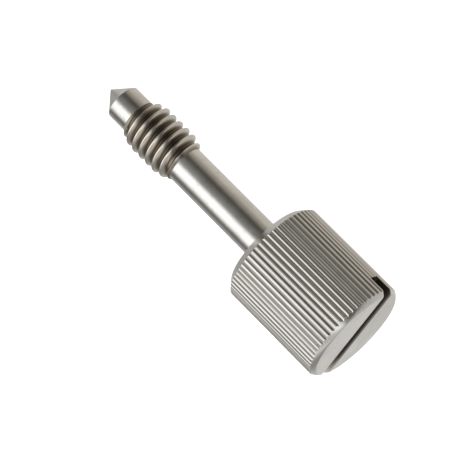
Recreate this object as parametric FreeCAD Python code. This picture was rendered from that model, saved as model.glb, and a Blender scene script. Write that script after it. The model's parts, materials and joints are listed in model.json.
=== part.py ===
import FreeCAD, Part
import math
import os

# A captive panel screw, turned from one bar: a coned dog point, a short right-hand M4 thread,
# a shank waisted below the thread's root so that the screw can hang loose in its panel,
# and a straight-knurled, slotted thumb head. All in millimetres.
#
# It lies as it comes to rest: the head is longer and heavier than all the rest, so the screw lies
# level on two neighbouring knurl crests, with its point clear of the surface.
# +X runs along the axis towards the point, +Z is up, and z = 0 is the surface that it lies on.
# x = 0 is halfway along the screw.

# --- driving dimensions -------------------------------------------------------------------------

# point
point_d = 2.8                # plain dog point
point_length = 1.65          # its parallel part, between cone and thread
cone_angle = 90.0            # included angle of the tip

# thread: M4 x 0.7, right-handed
thread_d = 3.96              # over the crests
thread_pitch = 0.7
thread_length = 5.06         # with its reduced first and last turns
thread_end_angle = 45.0      # chamfer on both ends of the thread, from the axis
thread_end_drop = 0.33       # the crests' taper starts at the ends, this far below their full radius
thread_taper_angle = 16.0    # at which it rises, from the axis
crest_flat_share = 1 / 8     # of the pitch
root_flat_share = 1 / 6      # of the pitch
flank_angle = 60.0           # included
front_crest = 3.72           # a crest passes the screw's upper side this far from the tip's apex

# waisted shank
shank_d = 2.9
shank_length = 8.76
neck_fillet = 0.15           # at the root of the shank, under the head

# head
head_d = 8.3                 # over the knurl's crests
head_length = 9.03
shoulder_chamfer_r = 0.6     # plain chamfer towards the shank: how far it comes in, and how long it is
shoulder_chamfer_length = 0.58
end_chamfer_r = 0.36         # plain chamfer round the slotted end
end_chamfer_length = 0.38

# straight knurl
tooth_count = 60
groove_depth = 0.085
groove_angle = 115.0         # included angle of each groove

# driver slot, across the whole end face
slot_width = 1.0
slot_depth = 1.6
slot_corner_r = 0.2          # at the foot of each wall
slot_tilt = 52.0             # from vertical towards -Y, as the screw lies

# --- worked out ---------------------------------------------------------------------------------

point_r = point_d / 2
thread_r = thread_d / 2
flank_slope = math.tan(math.radians(flank_angle / 2))
thread_depth = thread_pitch * (1 - crest_flat_share - root_flat_share) / (2 * flank_slope)
root_r = thread_r - thread_depth
shank_r = shank_d / 2
head_r = head_d / 2
half_tooth = math.pi / tooth_count

# distances from the tip's apex, along the axis
cone_length = point_r / math.tan(math.radians(cone_angle / 2))
thread_start = cone_length + point_length
thread_stop = thread_start + thread_length
shoulder = thread_stop + shank_length
end_face = shoulder + head_length

# each groove leaves this much of a tooth flat at its crest, as a half angle about the axis
groove_half_width = groove_depth * math.tan(math.radians(groove_angle / 2))
crest_half_angle = half_tooth - math.asin(groove_half_width / head_r)

# the screw lies on the two lowest crests, on the edges of them that face each other
axis_height = head_r * math.cos(half_tooth - crest_half_angle)

# cutters and envelopes run past what they shape by this much, and the thread's ridge starts below its root
overrun = 0.5
crest_overrun = 0.05
ridge_sink = 0.05


def revolved(outline):
    """Solid of revolution about the Z axis from (radius, distance from the apex) points."""
    points = [FreeCAD.Vector(radius, 0, along) for radius, along in outline]
    face = Part.Face(Part.makePolygon(points + points[:1]))
    return face.revolve(FreeCAD.Vector(0, 0, 0), FreeCAD.Vector(0, 0, 1), 360)


def thread_ridge():
    """One crest of the thread, swept right-handed along its helix past both ends of the thread."""
    sunk_r = root_r - ridge_sink
    crest_half = thread_pitch * crest_flat_share / 2
    foot_half = crest_half + (thread_r - sunk_r) * flank_slope
    turns_before = math.ceil((front_crest - thread_start) / thread_pitch) + 1
    begin = front_crest - turns_before * thread_pitch
    profile = Part.makePolygon([
        FreeCAD.Vector(sunk_r, 0, begin - foot_half),
        FreeCAD.Vector(thread_r, 0, begin - crest_half),
        FreeCAD.Vector(thread_r, 0, begin + crest_half),
        FreeCAD.Vector(sunk_r, 0, begin + foot_half),
        FreeCAD.Vector(sunk_r, 0, begin - foot_half),
    ])
    turns = []
    for number in range(math.ceil((thread_stop - begin) / thread_pitch) + 1):
        turn = Part.makeHelix(thread_pitch, thread_pitch, root_r)
        turn.translate(FreeCAD.Vector(0, 0, begin + number * thread_pitch))
        turns += turn.Edges
    return Part.Wire(turns).makePipeShell([profile], True, True)


def coned_bar(start_r, stop_r, angle, out_r):
    """Bar as long as the thread that rises from each end to out_r."""
    slope = math.tan(math.radians(angle))
    return revolved([
        (0, thread_start),
        (start_r, thread_start),
        (out_r, thread_start + (out_r - start_r) / slope),
        (out_r, thread_stop - (out_r - stop_r) / slope),
        (stop_r, thread_stop),
        (0, thread_stop),
    ])


def thread_envelope():
    """What the crests reach: the chamfered ends, and inside those a taper up to the full thread."""
    chamfered = coned_bar(point_r, shank_r, thread_end_angle, thread_r + 2 * crest_overrun)
    tapered = coned_bar(thread_r - thread_end_drop, thread_r - thread_end_drop, thread_taper_angle,
                        thread_r + crest_overrun)
    return chamfered.common(tapered)


def body():
    """Point, threaded length and shank, up into the head."""
    slope = math.tan(math.radians(thread_end_angle))
    core = revolved([
        (0, 0),
        (point_r, cone_length),
        (point_r, thread_start),
        (root_r, thread_start + abs(root_r - point_r) / slope),
        (root_r, thread_stop - abs(root_r - shank_r) / slope),
        (shank_r, thread_stop),
        (shank_r, shoulder + overrun),
        (0, shoulder + overrun),
    ])
    return core.fuse(thread_ridge().common(thread_envelope()))


def knurl_prism():
    """Star-shaped bar: one V groove between each two teeth, a narrow flat on each crest, one groove at -X."""
    points = []
    for tooth in range(tooth_count):
        middle = math.pi + (2 * tooth + 1) * half_tooth
        for radius, angle in (
            (head_r, middle - crest_half_angle),
            (head_r, middle + crest_half_angle),
            (head_r - groove_depth, middle + half_tooth),
        ):
            points.append(FreeCAD.Vector(radius * math.cos(angle), radius * math.sin(angle), shoulder - overrun))
    star = Part.Face(Part.makePolygon(points + points[:1]))
    return star.extrude(FreeCAD.Vector(0, 0, head_length + 2 * overrun))


def head_blank():
    """The turned head before knurling, with its chamfers carried out past the knurl's crests."""
    out_r = head_r + overrun
    shoulder_slope = shoulder_chamfer_length / shoulder_chamfer_r
    end_slope = end_chamfer_length / end_chamfer_r
    return revolved([
        (0, shoulder),
        (head_r - shoulder_chamfer_r, shoulder),
        (out_r, shoulder + (shoulder_chamfer_r + overrun) * shoulder_slope),
        (out_r, end_face - (end_chamfer_r + overrun) * end_slope),
        (head_r - end_chamfer_r, end_face),
        (0, end_face),
    ])


def neck():
    """Ring of metal that rounds the corner between the shank and the head's underside."""
    corner = FreeCAD.Vector(shank_r, 0, shoulder)
    on_head = corner + FreeCAD.Vector(neck_fillet, 0, 0)
    on_shank = corner - FreeCAD.Vector(0, 0, neck_fillet)
    toward_corner = neck_fillet * (1 - math.cos(math.radians(45)))
    halfway = corner + FreeCAD.Vector(toward_corner, 0, -toward_corner)
    inner_foot = FreeCAD.Vector(shank_r - neck_fillet, 0, shoulder - neck_fillet)
    inner_top = FreeCAD.Vector(shank_r - neck_fillet, 0, shoulder + neck_fillet)
    outer_top = FreeCAD.Vector(shank_r + neck_fillet, 0, shoulder + neck_fillet)
    outline = Part.Wire([
        Part.Arc(on_shank, halfway, on_head).toShape(),
        Part.makeLine(on_head, outer_top),
        Part.makeLine(outer_top, inner_top),
        Part.makeLine(inner_top, inner_foot),
        Part.makeLine(inner_foot, on_shank),
    ])
    return Part.Face(outline).revolve(FreeCAD.Vector(0, 0, 0), FreeCAD.Vector(0, 0, 1), 360)


def driver_slot():
    """Saw cut across the end face, with a small round at the foot of each wall."""
    cut = Part.makeBox(
        slot_width, head_d + 2 * overrun, slot_depth + overrun,
        FreeCAD.Vector(-slot_width / 2, -head_r - overrun, end_face - slot_depth),
    )
    feet = [edge for edge in cut.Edges if edge.BoundBox.ZMax < end_face - slot_depth / 2 and edge.Length > head_d]
    return cut.makeFillet(slot_corner_r, feet)


def captive_screw():
    """The whole screw, laid on its side: its tip points along +X and a knurl groove is lowest."""
    head = head_blank().common(knurl_prism())
    screw = body().fuse(head).fuse(neck()).removeSplitter()
    slot = driver_slot()
    slot.rotate(FreeCAD.Vector(0, 0, 0), FreeCAD.Vector(0, 0, 1), 90 - slot_tilt)
    screw = screw.cut(slot).Solids[0]
    # lay the axis down: what pointed along -X, where a groove is, now points down
    screw.rotate(FreeCAD.Vector(0, 0, 0), FreeCAD.Vector(0, 1, 0), -90)
    screw.translate(FreeCAD.Vector(end_face / 2, 0, axis_height))
    return screw


os.makedirs("parts", exist_ok=True)
screw = captive_screw()
print("valid", screw.isValid(), "volume", round(screw.Volume, 2), "length", round(end_face, 3))
print("centre of mass", [round(v, 3) for v in screw.CenterOfMass], "faces", len(screw.Faces))
screw.exportStep("parts/captive_screw.step")
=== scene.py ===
import bpy
import json
import math
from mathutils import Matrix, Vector


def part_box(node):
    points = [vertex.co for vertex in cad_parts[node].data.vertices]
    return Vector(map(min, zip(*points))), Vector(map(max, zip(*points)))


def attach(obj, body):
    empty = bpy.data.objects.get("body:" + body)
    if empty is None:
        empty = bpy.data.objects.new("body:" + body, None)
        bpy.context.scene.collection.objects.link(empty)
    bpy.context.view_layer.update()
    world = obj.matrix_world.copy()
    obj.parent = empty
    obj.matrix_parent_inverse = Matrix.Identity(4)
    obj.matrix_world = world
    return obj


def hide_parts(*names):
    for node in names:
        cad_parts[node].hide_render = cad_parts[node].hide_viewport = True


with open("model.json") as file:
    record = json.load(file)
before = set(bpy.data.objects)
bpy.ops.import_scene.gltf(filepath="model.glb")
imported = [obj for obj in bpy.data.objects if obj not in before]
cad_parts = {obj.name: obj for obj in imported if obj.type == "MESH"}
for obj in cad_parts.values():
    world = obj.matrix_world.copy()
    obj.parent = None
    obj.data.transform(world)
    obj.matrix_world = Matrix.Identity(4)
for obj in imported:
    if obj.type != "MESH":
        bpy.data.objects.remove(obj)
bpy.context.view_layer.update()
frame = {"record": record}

bpy.ops.object.select_all(action='DESELECT')
mm = 0.001
mergeWithin = 0.0005        # millimetres

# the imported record's sizes, in millimetres; lengths are counted from the tip's apex
mounts = {m["name"]: m for m in frame["record"]["mounts"]}
low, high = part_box("captive_screw")
tipX = high[0] / mm
totalLength = (high[0] - low[0]) / mm
headRadius = (high[1] - low[1]) / 2 / mm
axisHeight = mounts["dog_point"]["pos_m"][2] / mm


def fromTip(mountName, side):
    # distance from the apex to the near (-1) or far (+1) end of a mount
    mount = mounts[mountName]
    return tipX - mount["pos_m"][0] / mm + side * mount["dims"]["length_mm"] / 2


pointRadius = mounts["dog_point"]["dims"]["r_mm"]
threadRadius = mounts["thread"]["dims"]["r_mm"]
shankRadius = mounts["waist"]["dims"]["r_mm"]
coneLength = fromTip("dog_point", -1)
threadStart = fromTip("thread", -1)
threadStop = fromTip("thread", 1)
shoulder = fromTip("waist", 1)
print("sizes read: length %.2f, head %.2f, thread %.2f" % (totalLength, 2 * headRadius, 2 * threadRadius))


def startFresh():
    if bpy.context.mode != 'OBJECT':
        bpy.ops.object.mode_set(mode='OBJECT')
    bpy.ops.object.select_all(action='DESELECT')


def drawProfile(name, points):
    # a plane shrunk to one vertex, then extruded from point to point: (radius, along)
    startFresh()
    bpy.ops.mesh.primitive_plane_add(size=1)
    piece = bpy.context.object
    piece.name = name
    bpy.ops.object.mode_set(mode='EDIT')
    bpy.ops.mesh.select_all(action='SELECT')
    bpy.ops.mesh.merge(type='CENTER')
    bpy.ops.transform.translate(value=(points[0][0], 0, points[0][1]))
    for (r0, z0), (r1, z1) in zip(points, points[1:]):
        bpy.ops.mesh.extrude_vertices_move(
            TRANSFORM_OT_translate={"value": (r1 - r0, 0, z1 - z0)})
    return piece


def mergeDoubles():
    bpy.ops.mesh.select_all(action='SELECT')
    bpy.ops.mesh.remove_doubles(threshold=mergeWithin)


def closeUp():
    mergeDoubles()
    bpy.ops.mesh.normals_make_consistent(inside=False)
    bpy.ops.object.mode_set(mode='OBJECT')


def turnOnLathe(name, points, segments):
    piece = drawProfile(name, points)
    bpy.ops.mesh.select_all(action='SELECT')
    bpy.ops.mesh.spin(steps=segments, angle=2 * math.pi, center=(0, 0, 0), axis=(0, 0, 1))
    closeUp()
    return piece


def combine(piece, other, how):
    startFresh()
    bpy.context.view_layer.objects.active = piece
    piece.select_set(True)
    step = piece.modifiers.new(how.lower(), 'BOOLEAN')
    step.operation = how
    step.solver = 'EXACT'
    step.object = other
    bpy.ops.object.modifier_apply(modifier=step.name)
    piece.select_set(False)
    other.select_set(True)
    bpy.ops.object.delete()
    return piece


def arcPoints(centre, across, along, start, stop, steps):
    # an arc of a profile: its two radii, and its angles in degrees from the outward direction
    points = []
    for i in range(steps + 1):
        a = math.radians(start + (stop - start) * i / steps)
        points.append((centre[0] + across * math.cos(a), centre[1] + along * math.sin(a)))
    return points


def easedCorner(before, corner, after, size, steps=4):
    # points of a small round in place of a sharp corner of a profile
    c = Vector(corner)
    a = c + (Vector(before) - c).normalized() * size
    b = c + (Vector(after) - c).normalized() * size
    points = []
    for i in range(steps + 1):
        t = i / steps
        p = a * (1 - t) ** 2 + c * 2 * t * (1 - t) + b * t ** 2
        points.append((p.x, p.y))
    return points


def easedProfile(corners):
    # corners are (radius, along, size of the round)
    points = []
    for i, (r, z, size) in enumerate(corners):
        if size == 0:
            points.append((r, z))
        else:
            points += easedCorner(corners[i - 1][:2], (r, z), corners[i + 1][:2], size)
    return points


# point, core and shank
bar = {
    "segments": 192,
    "tipFlat": 0.02,
    "pointEdge": 0.035,       # round between the cone and the plain point
    "stepLength": 0.2,        # hidden in the thread, from the point's radius to the shank's
    "neckFillet": 0.15,
    "intoHead": 0.6,
}


def makeBar():
    flat, fillet = bar["tipFlat"], bar["neckFillet"]
    middle = (threadStart + threadStop) / 2
    points = easedProfile([
        (0, flat, 0),
        (flat, flat, 0),
        (pointRadius, coneLength, bar["pointEdge"]),
        (pointRadius, middle - bar["stepLength"] / 2, 0),
        (shankRadius, middle + bar["stepLength"] / 2, 0),
    ])
    points += arcPoints((shankRadius + fillet, shoulder - fillet), fillet, fillet, 180, 90, 6)
    points += [(shankRadius + fillet, shoulder + bar["intoHead"]), (0, shoulder + bar["intoHead"])]
    return turnOnLathe("turnedBar", points, bar["segments"])


thread = {
    "pitch": 0.7,
    "depth": 0.4294,
    "frontCrest": 3.72,       # a crest passes the top side this far from the apex
    "crestRound": (0.055, 0.022),       # half its width, and its height
    "rootRound": (0.062, 0.026),
    "roundMiddle": 0.006,     # height of both rounds halfway out
    "endDrop": 0.33,          # how far the crests have sunk at both ends
    "taperAngle": 16,         # at which they sink, from the axis
    "endAngle": 45,           # of the chamfer that stops them
    "stepsPerTurn": 120,
    "overrun": 0.5,
    "envelopeOverrun": 0.1,
    "envelopeClearance": 0.02,
    "envelopeTurn": 0.4,      # degrees, so that no edge of it runs along an edge of the bar
}


def ridgeProfile():
    # one pitch of the thread, from root to root
    half, depth = thread["pitch"] / 2, thread["depth"]
    root = threadRadius - depth
    crestHalf, crestHeight = thread["crestRound"]
    rootHalf, rootHeight = thread["rootRound"]
    oneSide = [
        (root, half),
        (root + thread["roundMiddle"], half - rootHalf / 2),
        (root + rootHeight, half - rootHalf),
        (root + depth / 2, half / 2),
        (threadRadius - crestHeight, crestHalf),
        (threadRadius - thread["roundMiddle"], crestHalf / 2),
        (threadRadius, 0),
    ]
    return [(r, -z) for r, z in oneSide] + [(r, z) for r, z in reversed(oneSide[:-1])]


def sweepThread():
    # full turns, past both ends of the threaded length and cut off square there
    pitch = thread["pitch"]
    begin = thread["frontCrest"] - (math.ceil((thread["frontCrest"] - threadStart) / pitch) + 2) * pitch
    rod = drawProfile("threadRod", [(r, z + begin) for r, z in ridgeProfile()])
    startFresh()
    turns = rod.modifiers.new("turns", 'SCREW')
    turns.axis = 'Z'
    turns.angle = 2 * math.pi
    turns.screw_offset = pitch
    turns.iterations = math.ceil((threadStop - begin) / pitch) + 2
    turns.steps = turns.render_steps = thread["stepsPerTurn"]
    turns.use_merge_vertices = True
    turns.merge_threshold = mergeWithin
    bpy.context.view_layer.objects.active = rod
    bpy.ops.object.modifier_apply(modifier="turns")
    bpy.ops.object.mode_set(mode='EDIT')
    mergeDoubles()
    for cutAt, away in ((threadStart - thread["overrun"], -1), (threadStop + thread["overrun"], 1)):
        bpy.ops.mesh.select_all(action='SELECT')
        bpy.ops.mesh.bisect(plane_co=(0, 0, cutAt), plane_no=(0, 0, away), use_fill=True,
                            clear_inner=False, clear_outer=True, threshold=0.00001)
    closeUp()
    return rod


def sinkCrests(rod, side, edge):
    # tapers the rod from full size down to one end of the thread and past it
    sinks = thread["endDrop"] / math.tan(math.radians(thread["taperAngle"]))
    reach = sinks + thread["overrun"]
    span = threadStop - threadStart + 2 * thread["overrun"]
    startFresh()
    bpy.ops.object.empty_add(location=(0, 0, edge - side * sinks))
    marker = bpy.context.object
    taper = rod.modifiers.new("taper", 'SIMPLE_DEFORM')
    taper.deform_method = 'TAPER'
    taper.deform_axis = 'Z'
    taper.origin = marker
    taper.limits = (0, reach / span) if side < 0 else (1 - reach / span, 1)
    taper.factor = -side * thread["endDrop"] / threadRadius / sinks * reach
    startFresh()
    bpy.context.view_layer.objects.active = rod
    rod.select_set(True)
    bpy.ops.object.modifier_apply(modifier="taper")
    rod.select_set(False)
    marker.select_set(True)
    bpy.ops.object.delete()


def makeThreadEnvelope():
    # the threaded length, chamfered at both ends
    steep = math.tan(math.radians(thread["endAngle"]))
    out = threadRadius + thread["envelopeClearance"]
    past = thread["envelopeOverrun"]
    envelope = turnOnLathe("threadEnvelope", [
        (0, threadStart - past),
        (pointRadius - past * steep, threadStart - past),
        (out, threadStart + (out - pointRadius) / steep),
        (out, threadStop - (out - shankRadius) / steep),
        (shankRadius - past * steep, threadStop + past),
        (0, threadStop + past),
    ], bar["segments"])
    envelope.rotation_euler.z = math.radians(thread["envelopeTurn"])
    return envelope


def makeThread():
    rod = sweepThread()
    sinkCrests(rod, -1, threadStart)
    sinkCrests(rod, 1, threadStop)
    return combine(rod, makeThreadEnvelope(), 'INTERSECT')


head = {
    "teeth": 60,
    "pointsPerTooth": 16,
    "grooveDepth": 0.0771,
    "crestBreadth": 1.7,                # 1 makes crests and grooves alike, more makes the crests broader
    "knurlOverrun": 0.5,
    "shoulderChamfer": (0.6, 0.58),     # how far in, how long
    "shoulderEdge": 0.05,               # round between that chamfer and the underside
    "endChamfer": (0.36, 0.38),
    "endBulge": 0.28,                   # 0 leaves the end chamfer flat, 1 makes it a full round
    "blankClearance": 0.4,              # between the chamfers the blank is this much wider than the knurl
    "blankTaper": 1.0,                  # length over which it comes in again to the end chamfer
    "blankTurn": 0.11,                  # degrees, away from the knurl's edges
}


def makeKnurl():
    # a bar as wide as the head, grooved from end to end
    startFresh()
    perTooth = head["pointsPerTooth"]
    count = head["teeth"] * perTooth
    bpy.ops.mesh.primitive_circle_add(vertices=count, radius=headRadius, fill_type='NGON',
                                      location=(0, 0, shoulder - head["knurlOverrun"]))
    knurl = bpy.context.object
    knurl.name = "knurledBar"
    bpy.ops.object.transform_apply(location=True, rotation=False, scale=False)
    # turn it so that a point of the circle stands at angle 0, the middle of the first tooth
    step = 2 * math.pi / count
    first = knurl.data.vertices[0].co
    knurl.rotation_euler.z = -(math.atan2(first.y, first.x) % step)
    bpy.ops.object.transform_apply(location=False, rotation=True, scale=False)
    for k in range(1, perTooth // 2 + 1):
        startFresh()
        for v in knurl.data.vertices:
            place = round(math.atan2(v.co.y, v.co.x) / step) % perTooth
            v.select = min(place, perTooth - place) == k
        for e in knurl.data.edges:
            e.select = False
        for f in knurl.data.polygons:
            f.select = False
        bpy.context.view_layer.objects.active = knurl
        bpy.ops.object.mode_set(mode='EDIT')
        # a wave from the middle of the tooth to the middle of the groove
        phase = math.pi * (2 * k / perTooth) ** head["crestBreadth"]
        share = 1 - head["grooveDepth"] * (1 - math.cos(phase)) / 2 / headRadius
        bpy.ops.transform.resize(value=(share, share, 1), center_override=(0, 0, 0))
    bpy.ops.mesh.select_all(action='SELECT')
    bpy.ops.mesh.extrude_region_move(
        TRANSFORM_OT_translate={"value": (0, 0, totalLength - shoulder + 2 * head["knurlOverrun"])})
    closeUp()
    # a groove, not a tooth, lies lowest
    knurl.rotation_euler.z = math.pi + math.pi / head["teeth"]
    bpy.ops.object.transform_apply(location=False, rotation=True, scale=False)
    return knurl


def makeHeadBlank():
    # the turned head before it is knurled
    shoulderIn, shoulderLong = head["shoulderChamfer"]
    endIn, endLong = head["endChamfer"]
    clearance, bulge = head["blankClearance"], head["endBulge"]
    out = headRadius + clearance
    outline = easedProfile([
        (0, shoulder, 0),
        (headRadius - shoulderIn, shoulder, head["shoulderEdge"]),
        (out, shoulder + shoulderLong * (1 + clearance / shoulderIn), 0),
        (out, totalLength - endLong - head["blankTaper"], 0),
    ])
    steps = 8
    for i in range(steps + 1):
        flat = i / steps
        a = math.radians(90 * flat)
        inward = flat + (1 - math.cos(a) - flat) * bulge
        toEnd = flat + (math.sin(a) - flat) * bulge
        outline.append((headRadius - endIn * inward, totalLength - endLong * (1 - toEnd)))
    outline.append((0, totalLength))
    blank = turnOnLathe("turnedHead", outline, head["teeth"] * head["pointsPerTooth"] // 2)
    blank.rotation_euler.z = math.radians(head["blankTurn"])
    bpy.ops.object.transform_apply(location=False, rotation=True, scale=False)
    return blank


slot = {
    "width": 1.0,
    "depth": 1.6,
    "footRound": 0.2,
    "lipRound": 0.045,        # the walls open out this much at the end face
    "lipTurn": 60,            # degrees that they turn through there
    "lipStretch": 1.2,        # along the screw
    "tilt": 52,               # from vertical towards -Y, as the screw lies
    "overrun": 1.0,
}


def makeSlotCutter():
    # the section of the saw cut, from its foot up one wall: (across, along), then mirrored
    half, foot, past = slot["width"] / 2, slot["footRound"], slot["overrun"]
    wall = arcPoints((half - foot, totalLength - slot["depth"] + foot), foot, foot, -90, 0, 6)
    turn = math.radians(slot["lipTurn"])
    across = slot["lipRound"] / (1 - math.cos(turn))
    along = across * slot["lipStretch"]
    lipCentre = (half + across, totalLength - along * math.sin(turn))
    wall += arcPoints(lipCentre, across, along, 180, 180 - slot["lipTurn"], 4)
    wall.append((half + 3 * slot["lipRound"], totalLength + past))
    saw = drawProfile("sawBlade", wall + [(-x, z) for x, z in reversed(wall)] + [wall[0]])
    mergeDoubles()
    bpy.ops.mesh.edge_face_add()
    bpy.ops.mesh.extrude_region_move(
        TRANSFORM_OT_translate={"value": (0, 2 * (headRadius + past), 0)})
    bpy.ops.mesh.select_all(action='SELECT')
    bpy.ops.transform.translate(value=(0, -headRadius - past, 0))
    closeUp()
    saw.rotation_euler.z = math.radians(90 - slot["tilt"])
    return saw


def layDown(piece):
    # on its side: the tip along +X, the side that was +X up, in metres
    startFresh()
    bpy.context.view_layer.objects.active = piece
    piece.select_set(True)
    bpy.ops.object.mode_set(mode='EDIT')
    closeUp()
    piece.rotation_euler = (0, -math.pi / 2, 0)
    piece.location = (tipX * mm, 0, axisHeight * mm)
    piece.scale = (mm, mm, mm)
    bpy.ops.object.transform_apply(location=True, rotation=True, scale=True)
    bpy.ops.object.shade_smooth_by_angle(angle=math.radians(32))


screw = makeBar()
print("bar turned:", len(screw.data.polygons), "faces")
screw = combine(screw, makeThread(), 'UNION')
print("thread rolled:", len(screw.data.polygons), "faces")
thumbHead = combine(makeKnurl(), makeHeadBlank(), 'INTERSECT')
print("head knurled:", len(thumbHead.data.polygons), "faces")
thumbHead = combine(thumbHead, makeSlotCutter(), 'DIFFERENCE')
print("slot sawn:", len(thumbHead.data.polygons), "faces")
screw = combine(screw, thumbHead, 'UNION')
layDown(screw)
screw.name = "turned_screw"
print("screw laid down:", [round(v / mm, 3) for v in screw.dimensions])


def feed(sockets, values):
    # numbers are set on the sockets, other nodes' outputs are linked to them
    for socket, value in zip(sockets, values):
        if isinstance(value, bpy.types.NodeSocket):
            socket.id_data.links.new(value, socket)
        else:
            socket.default_value = value


def newNode(kind, *values):
    # joins the tree that its values come from
    tree = next(v.id_data for v in values if isinstance(v, bpy.types.NodeSocket))
    return tree.nodes.new(kind)


def maths(how, *values):
    node = newNode("ShaderNodeMath", *values)
    node.operation = how
    feed(node.inputs, values)
    return node.outputs[0]


def vectors(how, *values):
    node = newNode("ShaderNodeVectorMath", *values)
    node.operation = how
    feed(node.inputs, values)
    return node.outputs["Value" if how in ('DOT_PRODUCT', 'LENGTH') else "Vector"]


def between(value, start, stop, low=0.0, high=1.0, ease='SMOOTHSTEP'):
    # goes from low to high while value goes from start to stop
    node = newNode("ShaderNodeMapRange", value)
    node.interpolation_type = ease
    feed(node.inputs, (value, start, stop, low, high))
    return node.outputs[0]


def past(value, edge, start, stop, low=0.0, high=1.0):
    # the same, with start and stop counted from an edge
    return between(value, edge + start, edge + stop, low, high)


def within(value, first, last, fadeIn, fadeOut):
    # 1 from the first edge to the last, with a fade at each
    return maths('MULTIPLY', past(value, first, *fadeIn), past(value, last, *fadeOut, 1, 0))


def noise(where, scale, detail):
    node = newNode("ShaderNodeTexNoise", where)
    feed((node.inputs["Vector"], node.inputs["Scale"], node.inputs["Detail"]), (where, scale, detail))
    return node.outputs[0]


def blend(share, a, b):
    node = newNode("ShaderNodeMix", share)
    node.data_type = 'RGBA'
    feed((node.inputs[0], node.inputs[6], node.inputs[7]), (share, a, b))
    return node.outputs[2]


steel = {
    "light": (0.69, 0.68, 0.655, 1),        # the two shades of clean turned metal
    "dark": (0.58, 0.57, 0.545, 1),
    "threadSteel": (0.60, 0.56, 0.50, 1),
    # painted shade in the thread's roots and on its end chamfers
    "threadGroove": (0.15, 0.125, 0.09, 1),
    "knurlSteel": (0.54, 0.53, 0.505, 1),
    # painted shade in the knurl's grooves
    "knurlGroove": (0.34, 0.32, 0.285, 1),
    # painted shade inside the slot
    "slotInside": (0.085, 0.066, 0.048, 1),
    "slotEnd": (0.42, 0.38, 0.32, 1),       # painted light, where the slot's lower end runs out at the rim
    "worn": (0.74, 0.73, 0.71, 1),          # rubbed crests
    # stains, and the painted shade on the end face beside the slot
    "stain": (0.40, 0.37, 0.32, 1),
    "dirt": (0.10, 0.085, 0.065, 1),        # specks left in the grooves
    # patterns: how many to a millimetre, and how much detail
    "rings": (22, 3),                       # marks left by the lathe tool
    "clouds": (0.55, 4),
    "grain": (26, 3),
    "dimples": (4.5, 1.5),
    "specks": (6, 1),
    "ringSpread": (0.8, 0.9),               # outward and round the screw, against along it
    "coarseRings": (0.16, 0.6, 0.6),        # the same pattern drawn out
    "speckShift": (31, 7, 3),               # away from the other patterns
    # values of a pattern between which it shows, and its shares at those two
    "cloudsShow": (0.3, 0.7),
    "ringsShow": (0.35, 0.75, 0, 0.35),
    "dimplesShow": (0.36, 0.28, 0, 0.35),
    "specksShow": (0.64, 0.72, 0, 0.6),
    "dirtShows": (0.64, 0.72, 0, 0.5),
    "wearShows": (0.42, 0.6, 0.3, 0.9),
    "stainsShow": ((0.56, 0.72), (0.4, 0.62, 0, 0.35)),     # in the clouds and in the grain
    # depths below the crests between which painted shade comes in at the grooves and wear at the crests
    "threadGrooveDepth": (0.12, 0.38),
    "threadCrestDepth": (0.035, 0.004),
    "knurlGrooveDepth": (0.03, 0.078),
    "knurlCrestDepth": (0.012, 0.001, 0, 0.2),
    "knurlShare": 0.6,
    # fades, in millimetres past an edge: round the first and the last one, or at a single one
    "threadFades": ((-0.02, 0.1), (-0.05, 0.04)),
    "threadEndShade": (0.1, 0.24, 0.75, 0),
    "knurlFades": ((0.42, 0.62), (-0.42, -0.3)),
    # the painted shade in the slot: fades past its lower and its upper lip, at its mouth and at its floor
    "slotFades": ((-0.08, -0.04), (0.004, 0.016)),
    "slotMouth": (-0.6, 0.05, 1, 0.72),
    "slotFloor": (-0.03, -0.01),
    "slotEndFrom": (-2.0, -3.4),            # up the slot from the screw's axis, where the painted light comes in
    "endFaceFrom": (-0.03, -0.005),
    # a painted shade on the end face on the slot's lower side
    "smudgeAcross": (0.3, -0.6),            # the same way as the slot's width
    "smudgeUp": (-1.8, 1.2),
    "smudgeDepth": (-0.06, -0.02, 0, 0.32),
    "roughness": 0.17,
    # what each finish adds to it
    "rougher": {
        "rings": 0.09,
        "clouds": 0.05,
        "threadGroove": 0.12,
        "slot": 0.3,
        "knurl": 0.08,
        "endFace": 0.08,
    },
    "bump": 1e-6,                           # metres
    "bumpShares": {"grain": 0.08, "rings": 0.22, "dimples": 2.6},
}


def threadMasks(radius, fromApex):
    # where the thread is, where painted shade darkens its grooves and where its crests are rubbed
    onThread = within(fromApex, threadStart, threadStop, *steel["threadFades"])
    # the crests sink at both ends, so depths are counted from there
    slope = math.tan(math.radians(thread["taperAngle"]))
    fromEnd = maths('MINIMUM', maths('SUBTRACT', fromApex, threadStart),
                    maths('SUBTRACT', threadStop, fromApex))
    crestRadius = maths('MULTIPLY_ADD', fromEnd, slope, threadRadius - thread["endDrop"])
    depth = maths('SUBTRACT', maths('MINIMUM', threadRadius, crestRadius), radius)
    # painted shade makes the chamfers at the ends nearly as dark as the grooves
    groove = maths('MAXIMUM', between(depth, *steel["threadGrooveDepth"]),
                   between(fromEnd, *steel["threadEndShade"]))
    crest = between(depth, *steel["threadCrestDepth"])
    return onThread, maths('MULTIPLY', onThread, groove), maths('MULTIPLY', onThread, crest)


# the same for the knurl: where it is, where painted shade darkens its grooves and where its crests are rubbed
def knurlMasks(radius, fromApex):
    # the same for the knurl
    onKnurl = within(fromApex, shoulder, totalLength, *steel["knurlFades"])
    depth = maths('SUBTRACT', headRadius, radius)
    groove = between(depth, *steel["knurlGrooveDepth"])
    crest = between(depth, *steel["knurlCrestDepth"])
    return onKnurl, maths('MULTIPLY', onKnurl, groove), maths('MULTIPLY', onKnurl, crest)


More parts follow.
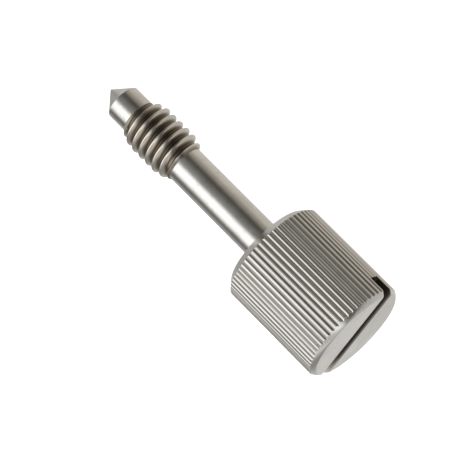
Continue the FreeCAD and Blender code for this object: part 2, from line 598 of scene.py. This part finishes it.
def slotMasks(place, fromApex):
    # painted shade inside the slot, painted light towards its lower end, and a faint painted shade on the end
    # face under it
    tilt = math.radians(slot["tilt"])
    across = vectors('DOT_PRODUCT', place, (0, math.cos(tilt), math.sin(tilt)))
    up = vectors('DOT_PRODUCT', place, (0, -math.sin(tilt), math.cos(tilt)))
    half = slot["width"] / 2
    # its upper lip shines; painted shade makes its lower lip nearly as dark as the inside and thins towards
    # the mouth
    slotShade = within(across, -half - slot["lipRound"], half, *steel["slotFades"])
    slotShade = maths('MULTIPLY', slotShade, past(fromApex, totalLength, *steel["slotMouth"]))
    slotShade = maths('MULTIPLY', slotShade, past(fromApex, totalLength - slot["depth"], *steel["slotFloor"]))
    # painted shade on the end face on the slot's lower side
    paintedFaceShade = maths('MULTIPLY', between(across, *steel["smudgeAcross"]), between(up, *steel["smudgeUp"]))
    paintedFaceShade = maths('MULTIPLY', paintedFaceShade, past(fromApex, totalLength, *steel["smudgeDepth"]))
    return slotShade, between(up, *steel["slotEndFrom"]), paintedFaceShade


def steelMaterial():
    mat = bpy.data.materials.new("turned_steel")
    mat.use_nodes = True
    nodes, links = mat.node_tree.nodes, mat.node_tree.links
    shader = nodes["Principled BSDF"]

    # millimetres from the screw's axis, and along it from the tip
    where = nodes.new("ShaderNodeTexCoord").outputs["Object"]
    place = vectors('MULTIPLY_ADD', where, (1 / mm, 1 / mm, 1 / mm), (0, 0, -axisHeight))
    radius = vectors('LENGTH', vectors('MULTIPLY', place, (0, 1, 1)))
    fromApex = maths('SUBTRACT', tipX, vectors('DOT_PRODUCT', place, (1, 0, 0)))

    # rings: noise squeezed along the axis and outward, long round the screw
    ringsPerMm, ringDetail = steel["rings"]
    outward, around = steel["ringSpread"]
    ringPlace = nodes.new("ShaderNodeCombineXYZ")
    feed(ringPlace.inputs, (
        maths('MULTIPLY', maths('MULTIPLY_ADD', radius, outward, fromApex), ringsPerMm),
        vectors('DOT_PRODUCT', place, (0, around, 0)),
        vectors('DOT_PRODUCT', place, (0, 0, around)),
    ))
    rings = noise(ringPlace.outputs[0], 1, ringDetail)
    coarseRings = noise(vectors('MULTIPLY', ringPlace.outputs[0], steel["coarseRings"]), 1, 1)
    clouds = noise(place, *steel["clouds"])
    grain = noise(place, *steel["grain"])
    dimples = noise(place, *steel["dimples"])
    specks = noise(vectors('ADD', place, steel["speckShift"]), *steel["specks"])

    onThread, threadShadeMask, threadCrest = threadMasks(radius, fromApex)
    onKnurl, knurlShadeMask, knurlCrest = knurlMasks(radius, fromApex)
    slotShade, slotEnd, paintedFaceShade = slotMasks(place, fromApex)
    stainClouds, stainGrain = steel["stainsShow"]
    stained = maths('MULTIPLY', between(clouds, *stainClouds), between(grain, *stainGrain))
    worn = maths('MULTIPLY', maths('ADD', threadCrest, knurlCrest), between(grain, *steel["wearShows"]))
    dirty = maths('MULTIPLY', maths('MAXIMUM', threadShadeMask, knurlShadeMask), between(specks, *steel["dirtShows"]))

    # each layer covers the ones before it by its share
    colour = blend(between(clouds, *steel["cloudsShow"]), steel["dark"], steel["light"])
    for share, shade in (
        (between(coarseRings, *steel["ringsShow"]), steel["dark"]),
        (stained, steel["stain"]),
        (between(specks, *steel["specksShow"]), steel["worn"]),
        (between(dimples, *steel["dimplesShow"]), steel["stain"]),
        # painted shade on the end face
        (paintedFaceShade, steel["stain"]),
        (onThread, steel["threadSteel"]),
        # painted shade in the thread's roots and on its end chamfers
        (threadShadeMask, steel["threadGroove"]),
        (maths('MULTIPLY', onKnurl, steel["knurlShare"]), steel["knurlSteel"]),
        # painted shade in the knurl's grooves
        (knurlShadeMask, steel["knurlGroove"]),
        (worn, steel["worn"]),
        (dirty, steel["dirt"]),
        # painted shade inside the slot, lighter with painted light towards its lower end
        (slotShade, blend(slotEnd, steel["slotInside"], steel["slotEnd"])),
    ):
        colour = blend(share, colour, shade)
    links.new(colour, shader.inputs["Base Color"])
    shader.inputs["Metallic"].default_value = 1.0

    endFace = past(fromApex, totalLength, *steel["endFaceFrom"])
    rough = steel["roughness"]
    for finish, share in (("rings", rings), ("clouds", clouds), ("threadGroove", threadShadeMask),
                          ("slot", slotShade), ("knurl", onKnurl), ("endFace", endFace)):
        rough = maths('MULTIPLY_ADD', share, steel["rougher"][finish], rough)
    links.new(rough, shader.inputs["Roughness"])

    height = 0.0
    for pattern, value in (("grain", grain), ("rings", rings), ("dimples", dimples)):
        height = maths('MULTIPLY_ADD', value, steel["bumpShares"][pattern], height)
    bump = nodes.new("ShaderNodeBump")
    bump.inputs["Distance"].default_value = steel["bump"]
    links.new(height, bump.inputs["Height"])
    links.new(bump.outputs[0], shader.inputs["Normal"])
    return mat


screw.data.materials.clear()
screw.data.materials.append(steelMaterial())
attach(screw, "root")
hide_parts("captive_screw")
print("steel on:", len(screw.data.materials[0].node_tree.nodes), "nodes")

paper = {
    "size": 2,
    "colour": (0.9, 0.9, 0.9, 1),
    "roughness": 0.9,
    "glow": 1.0,
}


def layPaper():
    startFresh()
    bpy.ops.mesh.primitive_plane_add(size=paper["size"], location=(0, 0, 0))
    floor = bpy.context.object
    floor.name = "studio_floor"
    mat = bpy.data.materials.new("white_paper")
    mat.use_nodes = True
    shader = mat.node_tree.nodes["Principled BSDF"]
    shader.inputs["Base Color"].default_value = paper["colour"]
    shader.inputs["Roughness"].default_value = paper["roughness"]
    shader.inputs["Emission Color"].default_value = (1, 1, 1, 1)
    shader.inputs["Emission Strength"].default_value = paper["glow"]
    floor.data.materials.append(mat)
    floor.visible_glossy = False


# light: a soft tunnel round the screw's axis, in three stretches along it
studio = {
    "lean": 12.8,       # degrees from overhead towards +Y of the tunnel's middle
    # angle round the axis, brightness, warmth: what the shank and the knurl mirror
    "beside": [
        (-180, 0.68, 0.01), (-150, 0.76, 0.06), (-112, 0.70, 0.10), (-90, 0.66, 0.12), (-76, 0.44, 0.13),
        (-60, 0.33, 0.15), (-51, 0.19, 0.18), (-45, 0.105, 0.20), (-37, 0.075, 0.13), (-22, 0.155, 0.06),
        (-5, 0.265, 0.04), (5, 0.30, 0.02), (12, 0.36, 0.0), (18, 0.56, 0.0), (24, 1.10, 0.0),
        (30, 1.60, 0.0), (37, 1.85, 0.0), (48, 1.90, 0.0), (62, 1.75, 0.0), (70, 1.50, 0.0),
        (76, 1.36, 0.0), (82, 0.90, 0.01), (89, 0.40, 0.04), (97, 0.17, 0.07), (108, 0.14, 0.08),
        (118, 0.23, 0.06), (128, 0.40, 0.04), (143, 0.58, 0.01), (160, 0.62, 0.01), (180, 0.68, 0.01),
    ],
    # beyond the tip
    "beyondTip": [
        (-180, 0.40, 0.02), (-168, 0.50, 0.02), (-155, 0.68, 0.0), (-140, 0.80, 0.02), (-110, 0.50, 0.05),
        (-75, 0.22, 0.10), (-45, 0.10, 0.14), (0, 0.12, 0.12), (25, 0.60, 0.08), (50, 1.35, 0.05),
        (100, 1.35, 0.04), (120, 0.80, 0.03), (140, 0.50, 0.02), (155, 0.46, 0.02), (180, 0.42, 0.02),
    ],
    # behind the head
    "behindHead": [
        (-180, 0.86, 0.02), (-125, 0.66, 0.04), (-80, 0.62, 0.03), (-66, 0.42, 0.05), (-56, 0.22, 0.05),
        (-46, 0.08, 0.05), (-12, 0.08, 0.05), (-4, 0.32, 0.02), (3, 1.20, 0.0), (24, 1.50, 0.0),
        (38, 1.10, 0.0), (52, 0.58, 0.0), (76, 0.62, 0.01), (90, 0.98, 0.02), (100, 0.92, 0.03),
        (110, 0.50, 0.04), (125, 0.34, 0.03), (140, 0.34, 0.03), (152, 0.52, 0.02), (165, 0.70, 0.02),
        (180, 0.86, 0.02),
    ],
    "warmRed": 0.6,                 # how much of a band's warmth goes into its red; all of it leaves its blue
    "tipFrom": (0.45, 0.66),        # how far a direction points along the axis where the stretches meet
    "headFrom": (-0.06, -0.26),
}


def lightBands(name, turn):
    node = turn.id_data.nodes.new("ShaderNodeValToRGB")
    node.color_ramp.interpolation = 'LINEAR'
    stops = node.color_ramp.elements
    while len(stops) > 1:
        stops.remove(stops[-1])
    for i, (degrees, light, warm) in enumerate(studio[name]):
        at = (degrees + 180) / 360
        stop = stops[0] if i == 0 else stops.new(at)
        stop.position = at
        stop.color = (light * (1 + studio["warmRed"] * warm), light, light * (1 - warm), 1)
    turn.id_data.links.new(turn, node.inputs[0])
    return node.outputs[0]


def lightTunnel():
    world = bpy.data.worlds.new("studio")
    bpy.context.scene.world = world
    world.use_nodes = True
    nodes, links = world.node_tree.nodes, world.node_tree.links
    direction = nodes.new("ShaderNodeTexCoord").outputs["Generated"]
    lean = math.radians(studio["lean"])
    sideways = vectors('DOT_PRODUCT', direction, (0, math.cos(lean), -math.sin(lean)))
    upwards = vectors('DOT_PRODUCT', direction, (0, math.sin(lean), math.cos(lean)))
    along = vectors('DOT_PRODUCT', direction, (1, 0, 0))
    turn = between(maths('ARCTAN2', sideways, upwards), -math.pi, math.pi, ease='LINEAR')
    pastTip = between(along, *studio["tipFrom"], ease='LINEAR')
    pastHead = between(along, *studio["headFrom"], ease='LINEAR')
    light = blend(pastTip, lightBands("beside", turn), lightBands("beyondTip", turn))
    light = blend(pastHead, light, lightBands("behindHead", turn))
    links.new(light, nodes["Background"].inputs[0])


camera = {
    "distance": 0.2026,
    "aim": (-0.00101, 0.00102, 0.00392),
    "heading": -35.21,
    "down": 68.49,
    "roll": -7.65,
    "lens": 223.6,
    "sensor": 36,
    "clip": (0.001, 10),
}


def placeCamera():
    heading, down = math.radians(camera["heading"]), math.radians(camera["down"])
    forward = Vector((math.cos(heading), math.sin(heading), -math.tan(down))) * math.cos(down)
    bpy.ops.object.camera_add()
    view = bpy.context.object
    view.location = Vector(camera["aim"]) - forward * camera["distance"]
    view.rotation_euler = forward.to_track_quat('-Z', 'Y').to_euler()
    view.rotation_euler.rotate_axis('Z', math.radians(camera["roll"]))
    view.data.lens = camera["lens"]
    view.data.sensor_width = camera["sensor"]
    view.data.clip_start, view.data.clip_end = camera["clip"]
    bpy.context.scene.camera = view


layPaper()
lightTunnel()
placeCamera()
bpy.context.scene.view_settings.view_transform = 'Standard'
print("paper, light and camera set")
